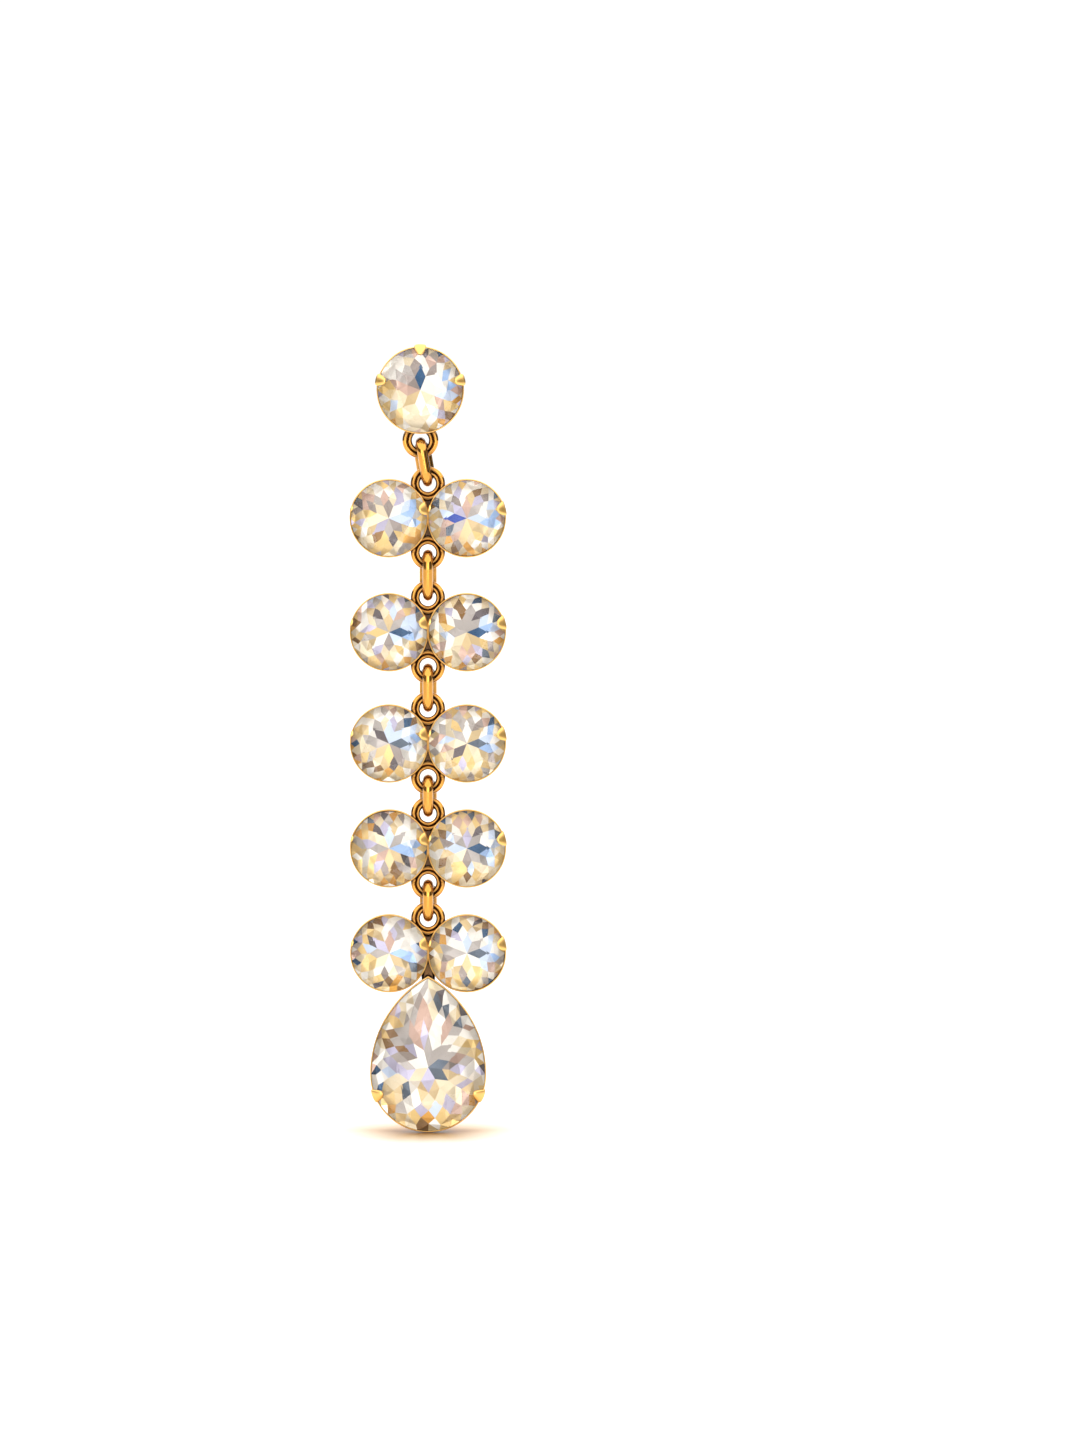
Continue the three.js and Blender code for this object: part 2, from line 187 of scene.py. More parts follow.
foil = {
    "roughness": 0.22,
    "metallic": 0.35,  # the vapour coating over the foil shines less than bare foil
    # a facet's tint, partly the coating's own colour and partly painted reflection of bright, dark and gold
    # surroundings, and how often it comes in the middle, halfway and at the edge
    "tints": {
        "cream": ("#EDDBB8", 5, 6, 10),
        "champagne": ("#DEC290", 4, 4, 7),
        "gold": ("#F0CB82", 1, 3, 10),
        "white": ("#FAF4EA", 4, 5, 13),
        "pearlGrey": ("#B9B0A9", 7, 6, 2),
        "taupe": ("#9E9088", 2, 4, 1),
        "lilac": ("#C3BCD4", 2, 4, 2),
        "blush": ("#CFAC9A", 2, 3, 3),
        "amber": ("#E0A23E", 0, 0, 3),
        "brown": ("#8C6432", 0, 1, 2),
        "smoke": ("#64585A", 1, 2, 1),
        "teal": ("#245078", 0, 0, 1),
        "navy": ("#2846A4", 0, 0, 0),
        "slate": ("#5E6A7A", 0, 1, 1),
        "paleBlue": ("#D2E0F8", 2, 3, 1),
        "blue": ("#A6C4F0", 0, 0, 0),
    },
    "halfwayTo": 0.7,  # of the reach from a stone's middle to its edge
    "warm": ["cream", "champagne", "gold", "amber", "brown"],
    "warmer": 0.55,  # how much likelier the warm tints are at the bottom, and the others at the top
    "pearLiking": {  # how much more or less often the pear's inner facets show a tint
        "white": 1.8, "cream": 1.0, "lilac": 1.5, "pearlGrey": 1.3, "blush": 1.6, "gold": 0.3, "champagne": 0.5,
        "amber": 0.8, "paleBlue": 0.6, "smoke": 0.3, "slate": 0.5, "taupe": 0.5, "brown": 0.6,
    },
    "flash": {  # painted reflection: the blue light that the coating throws back on one side of each round stone, painted into the foil
        "degrees": 12, "halfWidth": 32, "from": 0.5, "to": 0.84, "tints": ["paleBlue", "blue", "white"],
    },
    "star": {  # painted reflections: the facets of a stone's star that stand out with a flash, the way they point, and their tint
        "stud_stone": [
            (97, "teal"), (145, "taupe"), (190, "blush"), (10, "white"), (255, "white"), (300, "cream")],
        "round_stone_1_left": [(0, "paleBlue"), (-20, "blue")],
        "round_stone_1_right": [(165, "navy"), (5, "paleBlue")],
        "round_stone_2_left": [(-12, "teal"), (225, "white")],
        "round_stone_2_right": [(-14, "teal")],
        "round_stone_3_left": [(5, "slate"), (180, "pearlGrey")],
        "round_stone_3_right": [(-5, "slate")],
        "round_stone_4_left": [(0, "blue")],
        "round_stone_4_right": [(-5, "teal")],
        "round_stone_5_left": [(-5, "blue")],
        "round_stone_5_right": [(-10, "slate")],
        "pear_stone": [(-35, "slate"), (10, "slate"), (160, "white"), (265, "lilac")],
    },
    "starHalfWidth": 22,
}


def makeFoilBack():  # silver and gold mirror foil behind the glass, tinted facet by facet: partly the coating's colour over it, partly painted reflection
    material, tree = newMaterial("foilBack")
    facetTint = addNode(tree, "ShaderNodeAttribute", {"attribute_name": "facetTint"})
    tints = foil["tints"].values()
    colour = setStops(
        addNode(tree, "ShaderNodeValToRGB", {}, {"Fac": facetTint.outputs["Fac"]}),
        [(number / len(tints), linear(row[0])) for number, row in enumerate(tints)], "CONSTANT")
    shader = addNode(tree, "ShaderNodeBsdfPrincipled", {}, {
        "Base Color": colour, "Metallic": foil["metallic"], "Roughness": foil["roughness"]})
    addNode(tree, "ShaderNodeOutputMaterial", {}, {"Surface": shader.outputs["BSDF"]})
    return material


polishedGold = makePolishedGoldPlate()
satinGoldPaintedLight = makeSatinGoldPaintedLight()
crystal = makeCoatedCrystal()
foilBack = makeFoilBack()
print("materials made")


# an outline gives how far it reaches from its middle at an angle, less an inset
def roundOutline(radius):
    return lambda angle, inset=0.0: radius - inset


def pearOutline(radius, tipHeight):  # a half circle below, two arcs that meet in the tip above
    sideRadius = (radius ** 2 + tipHeight ** 2) / (2 * radius)
    sideCentre = sideRadius - radius

    def reach(angle, inset=0.0):
        if math.sin(angle) <= 0:
            return radius - inset
        up = sideCentre * math.sin(angle)
        return math.sqrt((sideRadius - inset) ** 2 - up ** 2) - sideCentre * abs(math.cos(angle))
    return reach


def widened(outline, more):
    return lambda angle, inset=0.0: outline(angle, inset - more)


def support(outline, angle, steps=360):  # how far the outline gets in one direction
    turns = (i * 2 * math.pi / steps for i in range(steps))
    return max(outline(turn) * math.cos(turn - angle) for turn in turns)


def outlineRing(outline, inset, y, sides, centre):
    ring = []
    for i in range(sides):
        angle = math.pi / 2 + i * 2 * math.pi / sides
        reach = outline(angle, inset)
        ring.append(centre + Vector((reach * math.cos(angle), y, reach * math.sin(angle))))
    return ring


def addSkin(mesh, rings, closed=False):  # faces through rings of equally many points, with or without ends
    made = [[mesh.verts.new(point) for point in ring] for ring in rings]
    bands = list(zip(made, made[1:])) + ([(made[-1], made[0])] if closed else [])
    skins = []
    for low, high in bands:
        around = zip(low, high, high[1:] + high[:1], low[1:] + low[:1])
        skins.append([mesh.faces.new(corners) for corners in around])
    if not closed:
        for ring, turn in ((made[0], 1), (made[-1], -1)):
            middle = mesh.verts.new(sum((v.co for v in ring), Vector()) / len(ring))
            for i in range(len(ring)):
                mesh.faces.new((middle, ring[i], ring[(i + 1) % len(ring)])[::turn])
    return skins


def finishPiece(mesh, name, node, materials, faceted=False):
    bmesh.ops.recalc_face_normals(mesh, faces=mesh.faces[:])
    data = bpy.data.meshes.new(name)
    mesh.to_mesh(data)
    mesh.free()
    piece = bpy.data.objects.new(name, data)
    bpy.context.scene.collection.objects.link(piece)
    for material in materials:
        data.materials.append(material)
    for face in data.polygons:
        face.use_smooth = not faceted
    if not faceted:
        data.set_sharp_from_angle(angle=math.radians(40))
    body = bodyOfNode[node]
    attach(piece, body)
    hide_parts(node)


cut = {
    "mains": 8,
    "outlineSides": 32,
    "crownShare": 0.287,  # of a stone's depth, in front of the girdle
    "girdle": 0.2 * mm,
    "seated": 0.04 * mm,  # how far a stone's edge reaches under the rim's lip
    "table": 0.53,  # of the reach, as is the next one
    "star": 0.5,
    "starSlope": 0.42,  # of the slope that would gain the crown's height within the star's run
    "starRun": 0.3,
    "halfSlope": 1.16,  # of the mains' slope
    "tiltDegrees": 1.0,
    # the foil's facets: how many meet on each ring, the ring's share of the reach, and how uneven it is
    "roundRings": [(8, 0.34, 0.02), (16, 0.54, 0.04), (18, 0.7, 0.04), (26, 0.86, 0.04)],
    "pearRings": [
        (8, 0.23, 0.02), (16, 0.39, 0.02), (20, 0.53, 0.03),
        (24, 0.66, 0.03), (28, 0.79, 0.03), (38, 0.9, 0.03)],
    "pearGather": 0.42,  # how much the pear's facets crowd towards its tip
    "pearPoint": 0.8 * mm,  # how far its foil's point lies above the middle of its round end
    "foilDepth": 0.12,  # of the pavilion's depth
    "foilBulge": 0.3,
    "depthUneven": 0.22,
}


def crownBack(stone):  # where the crown ends and the girdle begins
    low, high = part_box(stone)
    return low.y + cut["crownShare"] * (high.y - low.y)


def girdleOf(stone):  # the girdle's middle and radius, and the stone's edge
    low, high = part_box(stone)
    radius = (high.x - low.x) / 2
    middle = Vector(((low.x + high.x) / 2, crownBack(stone) + cut["girdle"] / 2, low.z + radius))
    edge = pearOutline(radius, high.z - middle.z) if stone == "pear_stone" else roundOutline(radius)
    return middle, radius, edge


def grind(mesh, normal, point):  # one flat facet, closed again behind the wheel
    geometry = mesh.verts[:] + mesh.edges[:] + mesh.faces[:]
    bmesh.ops.bisect_plane(mesh, geom=geometry, plane_co=point, plane_no=normal, clear_outer=True, dist=1e-8)
    bmesh.ops.holes_fill(mesh, edges=mesh.edges[:], sides=0)


def pickTint(stone, ring, degrees, share, rng):
    pear = stone == "pear_stone"
    flash = foil["flash"]
    # painted reflections come first: the star's flashing facets, then the blue flash on one side
    if ring == 1:
        for starDegrees, tint in foil["star"][stone]:
            if abs(math.remainder(degrees - starDegrees, 360)) < foil["starHalfWidth"]:
                return tint
    if flash["from"] < share < flash["to"] and not pear:
        if abs(math.remainder(degrees - flash["degrees"], 360)) < flash["halfWidth"]:
            return rng.choice(flash["tints"])
    column = 1 if ring == 1 else 2 if share < foil["halfwayTo"] else 3
    liking = foil["pearLiking"] if pear and column < 3 else {}
    above = math.sin(math.radians(degrees))
    chances = []
    for name, row in foil["tints"].items():
        likelier = -above if name in foil["warm"] else above
        chances.append(row[column] * liking.get(name, 1) * (1 + foil["warmer"] * likelier))
    return rng.choices(list(foil["tints"]), chances)[0]


def addFoil(mesh, stone, outline, centre, back, depth, rng):
    # triangles between uneven rings, down to one point, so that each facet looks another way;
    # the two triangles on either side of a ring's edge make one kite and share its tint
    pear = stone == "pear_stone"
    foilRings = cut["pearRings"] if pear else cut["roundRings"]
    gather = cut["pearGather"] if pear else 0.0
    pointRise = cut["pearPoint"] if pear else 0.0

    def spot(angle, share, uneven):
        reach = outline(angle) * share
        sink = depth * ((1 - share) * (1 + cut["foilBulge"] * share) + rng.uniform(-1, 1) * uneven)
        return centre + Vector((
            reach * math.cos(angle), back + sink, reach * math.sin(angle) + pointRise * (1 - share)))

    rows = [[(math.pi / 2, mesh.verts.new(spot(0, 0, 0)))]]
    for order, (count, share, uneven) in enumerate(foilRings):
        offset = 0.5 if order % 2 == 0 else 0.0  # each ring's points lie between those of the next
        row = []
        for i in range(count):
            fromTop = (i + offset + rng.uniform(-2, 2) * uneven) * 2 * math.pi / count
            angle = math.pi / 2 + fromTop - gather * math.sin(fromTop)
            point = spot(angle, share + rng.uniform(-1, 1) * uneven, cut["depthUneven"])
            row.append((angle, mesh.verts.new(point)))
        rows.append(row)
    sides = cut["outlineSides"]
    edgeAngles = [math.pi / 2 + i * 2 * math.pi / sides for i in range(sides)]
    rows.append([(angle, mesh.verts.new(spot(angle, 1, 0))) for angle in edgeAngles])
    shares = [0.0] + [share for _, share, _ in foilRings] + [1.0]
    tintLayer = mesh.faces.layers.float.new("facetTint")
    tintNames = list(foil["tints"])
    kiteTints = {}

    def addFacet(corners, ring, i, angle):  # i is the edge of the ring that the facet stands on
        face = mesh.faces.new(corners)
        if (ring, i) not in kiteTints:
            picked = pickTint(stone, ring, math.degrees(angle), shares[ring], rng)
            kiteTints[ring, i] = (tintNames.index(picked) + 0.5) / len(tintNames)
        face[tintLayer] = kiteTints[ring, i]
        face.material_index = 1

    def edgeAngle(row, i):  # halfway from point i to the next, counted on through a full turn
        laps = i // len(row) + (i + 1) // len(row)
        return (row[i % len(row)][0] + row[(i + 1) % len(row)][0]) / 2 + math.pi * laps

    for ring, (inner, outer) in enumerate(zip(rows, rows[1:])):
        a, b = 0, 0
        innerEnd = len(inner) if len(inner) > 1 else 0
        while a < innerEnd or b < len(outer):  # walks round both rings together
            here, there = inner[a % len(inner)][1], outer[b % len(outer)][1]
            if b >= len(outer) or (a < innerEnd and edgeAngle(inner, a) < edgeAngle(outer, b)):
                addFacet((here, there, inner[(a + 1) % len(inner)][1]), ring, a, edgeAngle(inner, a))
                a += 1
            else:
                addFacet((here, there, outer[(b + 1) % len(outer)][1]), ring + 1, b, edgeAngle(outer, b))
                b += 1


def makeStone(stone, seed):
    low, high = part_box(stone)
    girdle, _, edge = girdleOf(stone)
    outline = widened(edge, cut["seated"])
    centre = Vector((girdle.x, 0, girdle.z))
    front = crownBack(stone)
    back = front + cut["girdle"]
    crown = front - low.y
    rng = random.Random(seed)
    mesh = bmesh.new()
    addSkin(mesh, [outlineRing(outline, 0, y, cut["outlineSides"], centre) for y in (low.y, back)])
    bmesh.ops.dissolve_limit(mesh, angle_limit=0.001, verts=mesh.verts[:], edges=mesh.edges[:])

    def facet(angle, share, y, steepness, run):  # at a steepness of 1 it gains the crown's height within the run
        reach = support(outline, angle)
        slope = steepness * crown / (reach * run)
        out = Vector((math.cos(angle), 0, math.sin(angle)))
        normal = (out * slope + Vector((0, -1, 0))).normalized()
        grind(mesh, normal, centre + out * (reach * share) + Vector((0, y, 0)))

    step = 2 * math.pi / cut["mains"]
    toTable = 1 - cut["table"]
    for i in range(cut["mains"]):
        angle = math.pi / 2 + i * step
        facet(angle, 1, front, 1, toTable)
        facet(angle + step / 2, cut["star"], low.y, cut["starSlope"], cut["starRun"])
        for half in (angle - step / 4, angle + step / 4):
            facet(half, 1, front, cut["halfSlope"], toTable)
    backFace = max(mesh.faces, key=lambda face: face.calc_center_median().y)
    bmesh.ops.delete(mesh, geom=[backFace], context="FACES_ONLY")
    addFoil(mesh, stone, outline, centre, back, (high.y - back) * cut["foilDepth"], rng)
    bmesh.ops.remove_doubles(mesh, verts=mesh.verts[:], dist=1e-7)

    # set by hand: each stone looks a little another way, but none stands out further than its solid
    middle = centre + Vector((0, front, 0))
    tilt = math.radians(cut["tiltDegrees"])
    turn = Matrix.Rotation(rng.uniform(-tilt, tilt), 4, "X") @ Matrix.Rotation(rng.uniform(-tilt, tilt), 4, "Z")
    bmesh.ops.transform(
        mesh, matrix=Matrix.Translation(middle) @ turn @ Matrix.Translation(-middle), verts=mesh.verts[:])
    ahead = low.y - min(v.co.y for v in mesh.verts)
    bmesh.ops.translate(mesh, vec=(0, max(0.0, ahead), 0), verts=mesh.verts[:])
    finishPiece(mesh, stone + "_cut", stone, [crystal, foilBack], faceted=True)


tiers = range(1, 6)
makeStone("stud_stone", 3)
for tier in tiers:
    makeStone(f"round_stone_{tier}_left", 10 * tier - 9)
    makeStone(f"round_stone_{tier}_right", 10 * tier - 8)
makeStone("pear_stone", 77)
print("crystals cut")


def superellipse(count, width, depth, squareness):
    points = []
    for i in range(count):
        angle = i * 2 * math.pi / count
        c, s = math.cos(angle), math.sin(angle)
        points.append((
            math.copysign(abs(c) ** (2 / squareness), c) * width / 2,
            math.copysign(abs(s) ** (2 / squareness), s) * depth / 2))
    return points


def addBar(mesh, path, frames, sizes, sides, closed=False, squareness=2.0):  # a squareness of 2 is round
    # frames holds the ways out and across at each point of the path, sizes its width across and its depth out
    rings = []
    for point, (out, across), (width, depth) in zip(path, frames, sizes):
        rings.append([point + across * w + out * d for w, d in superellipse(sides, width, depth, squareness)])
    return addSkin(mesh, rings, closed)


def burnishWithPaintedLight(skins):  # gives these faces the setting's second material: the satin plate in a paler gold, painted light
    for skin in skins:
        for face in skin:
            face.material_index = 1


rim = {
    "seat": 0.18 * mm,  # from the stone's edge out to the rim's outside
    "wall": 0.16 * mm,
    "lip": 0.15 * mm,
    "band": 0.8 * mm,
    "floor": 0.4 * mm,
    "sides": 72,
}


def addCup(mesh, outline, centre, depth, backInset):
    wall, lip, band, floor = rim["wall"], rim["lip"], rim["band"], rim["floor"]
    rows = [  # inset from the outline and place behind the girdle: up the inside, over the lip, down the outside
        (backInset + floor / 2, depth - floor),
        (wall + 0.5 * mm, band - floor / 2),
        (wall + 0.06 * mm, 0.16 * mm),  # the ledge that the stone sits on
        (wall, -lip * 0.4),
        (wall * 0.8, -lip * 0.85),
        (wall * 0.5, -lip),
        (wall * 0.2, -lip * 0.85),
        (0, -lip * 0.4),
        (0, band),
        (backInset - 0.15 * mm, depth - 0.12 * mm),  # the back's rounded edge
        (backInset + 0.1 * mm, depth),
    ]
    skins = addSkin(mesh, [outlineRing(outline, inset, y, rim["sides"], centre) for inset, y in rows])
    burnishWithPaintedLight(skins[3:7])  # the lip


prongShapes = {
    "stud": {"width": 1.35 * mm, "out": 0.28 * mm, "reach": 0.95 * mm, "thick": 0.42 * mm, "tipShare": 0.72},
    "tier": {"width": 1.75 * mm, "out": 0.06 * mm, "reach": 0.9 * mm, "thick": 0.3 * mm, "tipShare": 0.6},
    "catch": {"width": 0.8 * mm, "out": 0.04 * mm, "reach": 0.25 * mm, "thick": 0.12 * mm, "tipShare": 0.8},
    "pear": {"width": 1.6 * mm, "out": 0.25 * mm, "reach": 1.1 * mm, "thick": 0.45 * mm, "tipShare": 0.6},
}
prongBar = {  # what all prongs share
    "root": 1.05 * mm,  # behind the girdle, in the cup's wall
    "waist": 0.5 * mm,
    "crownEdge": 0.2 * mm,  # in front of the girdle
    "taperFrom": 0.55,  # of its length
    "endWidth": 0.12,  # of the full one, as is the next
    "endThickness": 0.35,
    "tipSteps": 7,  # how many steps of the path its rounded ends take
    "rootSteps": 2,
    "squareness": 2.2,
    "sides": 20,
}


def smoothPath(stops, steps=5):  # a curve through all the stops
    path = []
    for i in range(len(stops) - 1):
        nearby = stops[max(i - 1, 0)], stops[i], stops[i + 1], stops[min(i + 2, len(stops) - 1)]
        for k in range(steps):
            t = k / steps
            path.append(tuple(
                0.5 * (2 * b + (c - a) * t + (2 * a - 5 * b + 4 * c - d) * t * t + (3 * b - a - 3 * c + d) * t ** 3)
                for a, b, c, d in zip(*nearby)))
    return path + [stops[-1]]


def addProng(mesh, centre, rimRadius, degrees, shape, crownSlope):
    angle = math.radians(degrees)
    out = Vector((math.cos(angle), 0, math.sin(angle)))
    across = Vector((-math.sin(angle), 0, math.cos(angle)))
    thick = shape["thick"]
    stoneEdge = rimRadius - rim["seat"]

    def crownY(radius):
        return -prongBar["crownEdge"] - max(0.0, stoneEdge - radius) * crownSlope

    tip = rimRadius - shape["reach"]
    half = (tip + rimRadius) / 2
    outside = rimRadius + shape["out"] - thick * 0.55
    path = smoothPath([  # from its root in the wall round the rim, then down along the crown
        (rimRadius - thick * 0.1, prongBar["root"]),
        (outside, prongBar["waist"]),
        (outside, crownY(rimRadius) + thick * 0.3),
        (rimRadius - thick * 0.35, crownY(stoneEdge) - thick * 0.35),
        (half, crownY(half) - thick * 0.5),
        (tip, crownY(tip) - thick * 0.3),
    ])
    points, frames, sizes = [], [], []
    last = len(path) - 1
    for i, (radius, y) in enumerate(path):
        before, after = path[max(i - 1, 0)], path[min(i + 1, last)]
        along = Vector((after[0] - before[0], after[1] - before[1])).normalized()
        end = min(1.0, (last - i) / prongBar["tipSteps"], (i + 0.6) / prongBar["rootSteps"])
        rounding = math.sqrt(max(0.0, 1 - (1 - end) ** 2))
        taper = max(0.0, (i / last - prongBar["taperFrom"]) / (1 - prongBar["taperFrom"]))
        width = shape["width"] * (1 - (1 - shape["tipShare"]) * taper)
        points.append(centre + out * radius + Vector((0, y, 0)))
        frames.append((out * -along.y + Vector((0, along.x, 0)), across))
        sizes.append((
            width * (prongBar["endWidth"] + (1 - prongBar["endWidth"]) * rounding),
            thick * (prongBar["endThickness"] + (1 - prongBar["endThickness"]) * rounding)))
    burnishWithPaintedLight(addBar(mesh, points, frames, sizes, prongBar["sides"], squareness=prongBar["squareness"]))


heads = {  # a cup's depth, the radius of its flat back, and its prongs with the way they point
    "stud": {"depth": 4.4 * mm, "backRadius": 2.5 * mm, "prongs": [("stud", 90), ("stud", 14), ("stud", 166)]},
    "tier": {"depth": 3.95 * mm, "backRadius": 2.1 * mm, "prongs": [("tier", 15), ("catch", 165)]},
    "pear": {"depth": 4.7 * mm, "backRadius": 3.5 * mm, "prongs": [("pear", -22), ("pear", 202)]},
}


def addHead(mesh, stone, head):
    centre, radius, edge = girdleOf(stone)
    rimRadius = radius + rim["seat"]
    addCup(mesh, widened(edge, rim["seat"]), centre, head["depth"], rimRadius - head["backRadius"])
    crownSlope = (centre.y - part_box(stone)[0].y) / (radius * (1 - cut["table"]))
    for shapeName, degrees in head["prongs"]:
        addProng(mesh, centre, rimRadius, degrees, prongShapes[shapeName], crownSlope)
    return centre


loops = {
    "stud": {"hole": 0.99 * mm, "inner": 0.47 * mm, "outer": 0.61 * mm},
    "tier": {"hole": 0.95 * mm, "inner": 0.45 * mm, "outer": 0.58 * mm},
    "lap": 0.03 * mm,
    "behindGirdle": 0.7 * mm,
    "sides": 64,
    "wireSides": 18,
}


def loopReach(size):
    return size["hole"] + size["inner"] + size["outer"]


def addDoubleLoop(mesh, centre, size):  # two round wires soldered one inside the other
    wires = [
        (size["hole"] + size["inner"] / 2, size["inner"] + loops["lap"]),
        (size["hole"] + size["inner"] + size["outer"] / 2, size["outer"])]
    for radius, thickness in wires:
        path, frames = [], []
        for i in range(loops["sides"]):
            angle = i * 2 * math.pi / loops["sides"]
            out = Vector((math.cos(angle), 0, math.sin(angle)))
            path.append(centre + out * radius)
            frames.append((out, Vector((0, 1, 0))))
        addBar(mesh, path, frames, [(thickness, thickness)] * len(path), loops["wireSides"], closed=True)


post = {
    "radius": 0.4 * mm,
    "tipRadius": 0.22 * mm,
    "root": 0.2 * mm,
    "fillet": 0.75 * mm,
    "sides": 24,
}


def addPost(mesh, tipY):
    rows = [
        (post["fillet"], -post["root"]), (post["fillet"], 0.05 * mm),
        (post["radius"] * 1.2, 0.2 * mm), (post["radius"], 0.45 * mm),
        (post["radius"], tipY - 0.7 * mm), (post["radius"] * 0.85, tipY - 0.25 * mm), (post["tipRadius"], tipY)]
    addSkin(mesh, [outlineRing(roundOutline(radius), 0, y, post["sides"], Vector()) for radius, y in rows])


link = {
    "wire": 1.2 * mm,
    "backWidth": 2.0 * mm,
    "backDepth": 0.9 * mm,
    "sideRoom": 0.62 * mm,
    "play": 0.15 * mm,
    "taper": 0.34,  # of a bend
    "bendSteps": 18,
    "wireSides": 20,
}


def makeLink(node, top, bottom, topHole, bottomHole):
    wire, steps = link["wire"], link["bendSteps"]
    innerHalf = ((bottom - top).length - topHole - bottomHole) / 2 + link["play"]
    bend = link["sideRoom"] + wire / 2
    straight = innerHalf + wire / 2 - bend
    down = (bottom - top).normalized()
    across = Vector((0, 1, 0)).cross(down).normalized()
    middle = (top + bottom) / 2

    def backShare(i):  # the back narrows to the wire within the first third of a bend
        return max(0.0, math.cos(min(1.0, i / steps / link["taper"]) * math.pi / 2))

    # the way it faces, the height and the share of the back's shape: up the back, over, down the front, under
    shares = (0.25, 0.5, 0.75)
    stations = [(0.0, straight * (2 * share - 1), 1.0) for share in shares]
    stations += [(math.pi * i / steps, straight, backShare(i)) for i in range(steps + 1)]
    stations += [(math.pi, straight * (1 - 2 * share), 0.0) for share in shares]
    stations += [(math.pi * (1 + i / steps), -straight, backShare(steps - i)) for i in range(steps + 1)]
    path, frames, sizes = [], [], []
    for angle, rise, grow in stations:
        out = Vector((0, 1, 0)) * math.cos(angle) - down * math.sin(angle)
        path.append(middle - down * rise + out * bend)
        frames.append((out, across))
        sizes.append((wire + (link["backWidth"] - wire) * grow, wire + (link["backDepth"] - wire) * grow))
    mesh = bmesh.new()
    addBar(mesh, path, frames, sizes, link["wireSides"], closed=True)
    finishPiece(mesh, node + "_gold", node, [polishedGold])


solder = {  # the drops that join a tier's loops to its cups
    "size": Vector((0.26, 0.3, 0.42)) * mm,
    "aside": 1.6 * mm,
    "ahead": 0.1 * mm,
    "towardsCups": 0.33 * mm,
    "rows": 8,
    "sides": 14,
}


def addSolder(mesh, centre):
    size = solder["size"]
    turns = [i * 2 * math.pi / solder["sides"] for i in range(solder["sides"])]
    rings = []
    for row in range(1, solder["rows"]):
        angle = row * math.pi / solder["rows"]
        rings.append([
            centre + Vector((size.x * math.sin(angle) * math.cos(turn), size.y * math.cos(angle),
                             size.z * math.sin(angle) * math.sin(turn)))
            for turn in turns])
    addSkin(mesh, rings)


strut = {  # the flat bar behind a tier's two cups
    "width": 1.6 * mm,
    "front": 0.15 * mm,  # behind the loops' middle, as is the next one
    "back": 1.5 * mm,
    "lap": 0.4 * mm,
    "belowTip": 3 * mm,  # how far it runs down behind the pear
    "squareness": 4,
    "sides": 24,
    "ends": [(0, 0.7), (0.03, 1), (0.5, 1), (0.97, 1), (1, 0.7)],  # share of its height, and of its full width
}


def addStrut(mesh, loop, low, high):
    y = loop.y + (strut["back"] + strut["front"]) / 2
    depth = strut["back"] - strut["front"]
    path, sizes = [], []
    for share, grow in strut["ends"]:
        path.append(Vector((loop.x, y, low + (high - low) * share)))
        sizes.append((strut["width"] * grow, depth * grow))
    frames = [(Vector((0, 1, 0)), Vector((1, 0, 0)))] * len(path)
    addBar(mesh, path, frames, sizes, strut["sides"], squareness=strut["squareness"])


def makeStud():
    low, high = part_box("stud_setting")
    mesh = bmesh.new()
    head = addHead(mesh, "stud_stone", heads["stud"])
    loop = Vector((head.x, head.y + loops["behindGirdle"], low.z + loopReach(loops["stud"])))
    addDoubleLoop(mesh, loop, loops["stud"])
    addPost(mesh, high.y)
    finishPiece(mesh, "stud_setting_gold", "stud_setting", [polishedGold, satinGoldPaintedLight])
    return head, loop


def makeTier(tier):  # two cups with a loop above and one below, or the pear's cup below in the last tier
    drop = tier == tiers[-1]
    node = "drop_setting" if drop else f"pair_setting_{tier}"
    mesh = bmesh.new()
    left, right = (addHead(mesh, f"round_stone_{tier}_{side}", heads["tier"]) for side in ("left", "right"))
    middle = (left + right) / 2
    reach = loopReach(loops["tier"])
    upper = Vector((middle.x, middle.y + loops["behindGirdle"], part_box(node)[1].z - reach))
    rise = upper.z - middle.z
    lower = Vector((middle.x, upper.y, middle.z - rise))
    for loop, way in [(upper, 1)] if drop else [(upper, 1), (lower, -1)]:
        addDoubleLoop(mesh, loop, loops["tier"])
        for side in (-1, 1):
            addSolder(mesh, loop + Vector((
                side * solder["aside"], -solder["ahead"], -way * solder["towardsCups"])))
    strutHalf = rise - reach + strut["lap"]
    strutLow = middle.z - strutHalf
    if drop:
        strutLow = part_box("pear_stone")[1].z - strut["belowTip"]
        addHead(mesh, "pear_stone", heads["pear"])
    addStrut(mesh, upper, strutLow, middle.z + strutHalf)
    finishPiece(mesh, node + "_gold", node, [polishedGold, satinGoldPaintedLight])
    return upper, lower


studHead, above = makeStud()
aboveHole = loops["stud"]["hole"]
for tier in tiers:
    upperLoop, lowerLoop = makeTier(tier)
    makeLink(f"link_{tier}", above, upperLoop, aboveHole, loops["tier"]["hole"])
    above, aboveHole = lowerLoop, loops["tier"]["hole"]
print("gold made")


photoBoard = {
    "colour": "#F7F6F4",
    # painted shadow and painted glow of the gold on the board, from the earring's foot outwards: dark brown at the
    # foot, warm further out
    "paintedShadowAndGlow": [(0.0, "#5A3008"), (0.5, "#A87638"), (0.78, "#D6B88E"), (0.93, "#EEE7DD")],
    "paintedShadowAndGlowMm": 13,
    "grainMm": 0.6,
    "grainDepthMm": 0.01,
    "grainStrength": 0.02,
    "roughness": 0.35,
    "halfSize": 3.0,
    "gap": 0.05 * mm,  # under the earring
}


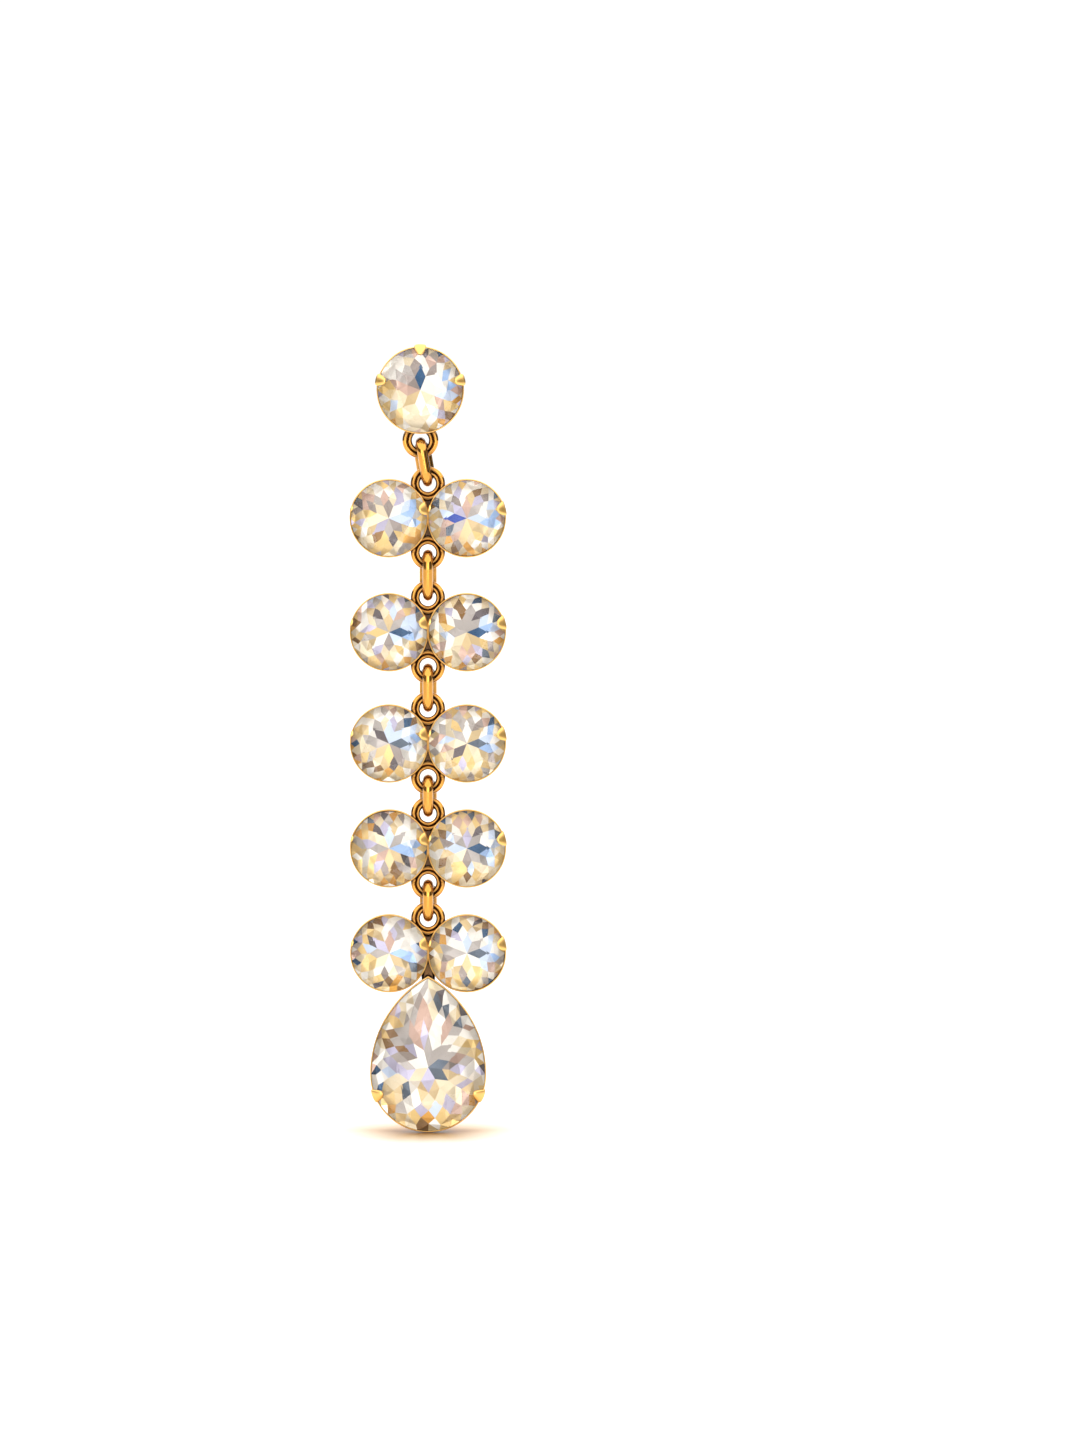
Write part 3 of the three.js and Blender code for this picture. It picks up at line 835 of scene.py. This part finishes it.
def makeFloor():  # matt white photo board: fine grain, no gloss to speak of, with painted shadow and a painted gold glow round the earring's foot
    material, tree = newMaterial("whiteBoard")
    place = addNode(tree, "ShaderNodeTexCoord").outputs["Object"]
    grain = addNode(tree, "ShaderNodeTexNoise", {}, {
        "Vector": place, "Scale": 1 / (photoBoard["grainMm"] * mm), "Detail": 3.0})
    # painted shadow and glow: the board's colour runs from dark brown to its own white as other things lie further
    # away
    paintedShadowAndGlowMask = addNode(tree, "ShaderNodeAmbientOcclusion", {"samples": 12}, {"Distance": photoBoard["paintedShadowAndGlowMm"] * mm})
    stops = photoBoard["paintedShadowAndGlow"] + [(1.0, photoBoard["colour"])]
    paintedShadowAndGlow = setStops(
        addNode(tree, "ShaderNodeValToRGB", {}, {"Fac": paintedShadowAndGlowMask.outputs["AO"]}),
        [(share, linear(colour)) for share, colour in stops])
    bump = addNode(tree, "ShaderNodeBump", {}, {
        "Strength": photoBoard["grainStrength"], "Distance": photoBoard["grainDepthMm"] * mm,
        "Height": grain.outputs["Fac"]})
    shader = addNode(tree, "ShaderNodeBsdfPrincipled", {}, {
        "Base Color": paintedShadowAndGlow, "Roughness": photoBoard["roughness"], "Normal": bump.outputs["Normal"]})
    addNode(tree, "ShaderNodeOutputMaterial", {}, {"Surface": shader.outputs["BSDF"]})
    half, z = photoBoard["halfSize"], cadBounds[0][2] - photoBoard["gap"]
    data = bpy.data.meshes.new("floor")
    data.from_pydata([(-half, -half, z), (half, -half, z), (half, half, z), (-half, half, z)], [], [(0, 1, 2, 3)])
    floor = bpy.data.objects.new("floor", data)
    bpy.context.scene.collection.objects.link(floor)
    data.materials.append(material)


studio = {
    "backdrop": 1.06,
    "overhead": 2.1,  # one large soft box above
    "brightest": 5.0,
    "panels": [  # share of the turn from straight in front, and the light from there, on both sides
        (0.00, 0.55), (0.012, 0.55), (0.022, 5.0), (0.05, 5.0), (0.064, 0.8), (0.1, 0.6), (0.14, 0.35),
        (0.16, 0.07), (0.24, 0.07), (0.25, 0.7), (0.275, 0.7), (0.29, 0.05), (0.41, 0.05), (0.43, 0.9), (0.50, 0.9),
    ],
    "overheadShare": [(0.0, 0.0), (0.66, 0.0), (0.70, 1.0), (1.0, 1.0)],  # by height, straight down to straight up
}


def grey(value):
    return (value, value, value, 1.0)


def makeStudio():
    world = bpy.data.worlds.new("studio")
    bpy.context.scene.world = world
    world.use_nodes = True
    tree = world.node_tree
    tree.nodes.clear()
    brightest = studio["brightest"]
    direction = addNode(tree, "ShaderNodeTexCoord").outputs["Generated"]
    parts = addNode(tree, "ShaderNodeSeparateXYZ", {}, {"Vector": direction})
    ahead = addNode(tree, "ShaderNodeMath", {"operation": "MULTIPLY"}, {0: parts.outputs["Y"], 1: -1.0})
    sideways = addNode(tree, "ShaderNodeMath", {"operation": "ABSOLUTE"}, {0: parts.outputs["X"]})
    turn = addNode(tree, "ShaderNodeMath", {"operation": "ARCTAN2"}, {0: sideways.outputs[0], 1: ahead.outputs[0]})
    share = addNode(tree, "ShaderNodeMath", {"operation": "DIVIDE"}, {0: turn.outputs[0], 1: 2 * math.pi})
    height = addNode(tree, "ShaderNodeMapRange", {}, {
        "Value": parts.outputs["Z"], "From Min": -1.0, "From Max": 1.0, "To Min": 0.0, "To Max": 1.0})
    panels = setStops(
        addNode(tree, "ShaderNodeValToRGB", {}, {"Fac": share.outputs[0]}),
        [(place, grey(light / brightest)) for place, light in studio["panels"]])
    fromAbove = setStops(
        addNode(tree, "ShaderNodeValToRGB", {}, {"Fac": height.outputs["Result"]}),
        [(place, grey(part)) for place, part in studio["overheadShare"]])
    lit = addNode(tree, "ShaderNodeMix", {"data_type": "RGBA"}, {
        "Factor": fromAbove, "A": panels, "B": grey(studio["overhead"] / brightest)})
    light = addNode(tree, "ShaderNodeBackground", {}, {"Color": lit.outputs["Result"], "Strength": brightest})
    plain = addNode(tree, "ShaderNodeBackground", {}, {"Color": grey(1), "Strength": studio["backdrop"]})
    seen = addNode(tree, "ShaderNodeLightPath").outputs["Is Camera Ray"]
    mixed = addNode(tree, "ShaderNodeMixShader", {}, {0: seen, 1: light.outputs[0], 2: plain.outputs[0]})
    addNode(tree, "ShaderNodeOutputWorld", {}, {"Surface": mixed.outputs[0]})


camera = {
    "frameHeight": 166.5 * mm,  # height of the photograph at the earring
    "distance": 0.9,
    "elevation": 3.0,
    "targetX": 14.08 * mm,
    "targetZ": -38.35 * mm,
    "sensor": 24,
}


def makeCamera():
    scene = bpy.context.scene
    data = bpy.data.cameras.new("camera")
    data.sensor_fit = "VERTICAL"
    data.sensor_height = camera["sensor"]
    data.lens = camera["sensor"] * camera["distance"] / camera["frameHeight"]
    data.clip_start = 0.01
    view = bpy.data.objects.new("camera", data)
    scene.collection.objects.link(view)
    tip = math.radians(camera["elevation"])
    target = Vector((camera["targetX"], studHead.y, camera["targetZ"]))
    view.location = target + Vector((0, -math.cos(tip), math.sin(tip))) * camera["distance"]
    view.rotation_euler = (math.pi / 2 - tip, 0, 0)
    scene.camera = view
    scene.view_settings.view_transform = "Standard"
    scene.view_settings.look = "None"


makeFloor()
makeStudio()
makeCamera()
print("stage set")

print("done")
